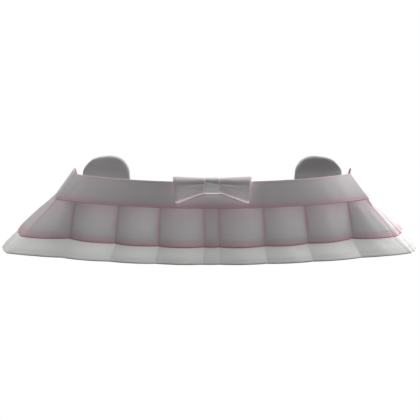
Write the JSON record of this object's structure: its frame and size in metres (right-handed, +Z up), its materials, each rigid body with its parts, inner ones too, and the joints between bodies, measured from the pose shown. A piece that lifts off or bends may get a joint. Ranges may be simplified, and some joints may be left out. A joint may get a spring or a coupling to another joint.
{
  "type": "ruffled skirt",
  "caption": "Short hip skirt held open as if worn, with a sloping waistband, tiers of broad pleats in soft cloth, a puffed front bow and rounded padded lobes at the back.",
  "frame": {"origin": "middle of the waist opening, level with the rim at the front", "axes": "+Z up, -Y to the front of the skirt, +X to the right of someone who looks at the front"},
  "size_m": [0.4203, 0.3264, 0.1055],
  "materials": {
    "band_cloth": "smooth matt woven cloth, off-white, shaded to dusty rose along both edges",
    "ruffle_cloth": "matt woven cloth, off-white with a faint rose tint, dusty rose along the hem and creases",
    "underskirt_cloth": "thin matt woven cloth, plain off-white",
    "bow_cloth": "satin-faced cloth, off-white with dusty rose edges",
    "lobe_cloth": "matt brushed cloth, plain off-white"
  },
  "bodies": {
    "root": {"waistband_front": "band_cloth", "waistband_back": "band_cloth", "ruffle_upper_front": "ruffle_cloth", "ruffle_upper_back": "ruffle_cloth", "ruffle_lower_front": "underskirt_cloth", "ruffle_lower_back": "underskirt_cloth", "bow_loop_left": "bow_cloth", "bow_loop_right": "bow_cloth", "bow_knot": "bow_cloth", "back_lobe_left": "lobe_cloth", "back_lobe_right": "lobe_cloth"}
  },
  "joints": []
}
